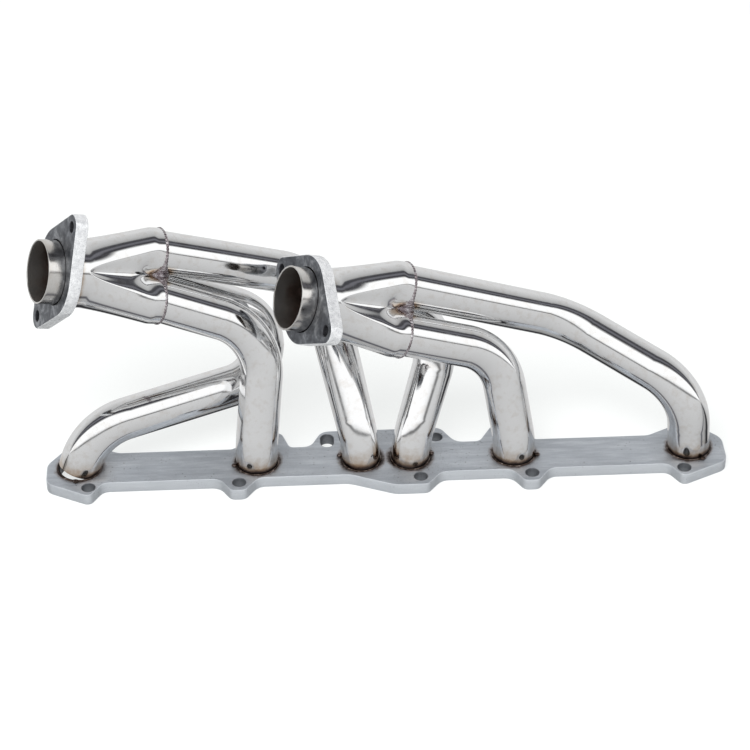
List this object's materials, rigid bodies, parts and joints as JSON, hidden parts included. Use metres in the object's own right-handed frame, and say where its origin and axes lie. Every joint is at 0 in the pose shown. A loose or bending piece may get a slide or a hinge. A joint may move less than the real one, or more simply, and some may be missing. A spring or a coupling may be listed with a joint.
{
  "type": "exhaust manifold",
  "caption": "Tubular exhaust manifold for an inline engine: a long head flange and bent primary tubes that merge in formed collectors, each with an outlet flange and slip stub.",
  "frame": {"origin": "middle of the head flange's mating face, on the line of the ports, half way between ports 3 and 4", "axes": "+X along the head flange from port 1 to port 6, +Y along the head flange's width away from the front bolt holes, +Z out of the cylinder head, so the head flange lies flat at Z 0"},
  "size_m": [0.6994, 0.1894, 0.2936],
  "materials": {
    "polished_stainless": "mirror polished",
    "brushed_stainless": "satin, turned",
    "blasted_steel": "matte blasted",
    "machined_flange": "matte, machined edge",
    "weld_metal": "heat-tinted weld bead",
    "collector_weld": "bright weld bead"
  },
  "bodies": {
    "root": {"collector_1": "polished_stainless", "collector_1_merge_plug": "collector_weld", "collector_1_outlet_flange": "machined_flange", "collector_1_outlet_stub": "brushed_stainless", "collector_1_outlet_weld": "weld_metal", "collector_1_weld": "collector_weld", "collector_2": "polished_stainless", "collector_2_merge_plug": "collector_weld", "collector_2_outlet_flange": "machined_flange", "collector_2_outlet_stub": "brushed_stainless", "collector_2_outlet_weld": "weld_metal", "collector_2_weld": "collector_weld", "head_flange": "blasted_steel", "port_weld_1": "weld_metal", "port_weld_2": "weld_metal", "port_weld_3": "weld_metal", "port_weld_4": "weld_metal", "port_weld_5": "weld_metal", "port_weld_6": "weld_metal", "primary_tube_1": "polished_stainless", "primary_tube_2": "polished_stainless", "primary_tube_3": "polished_stainless", "primary_tube_4": "polished_stainless", "primary_tube_5": "polished_stainless", "primary_tube_6": "polished_stainless"}
  },
  "joints": []
}
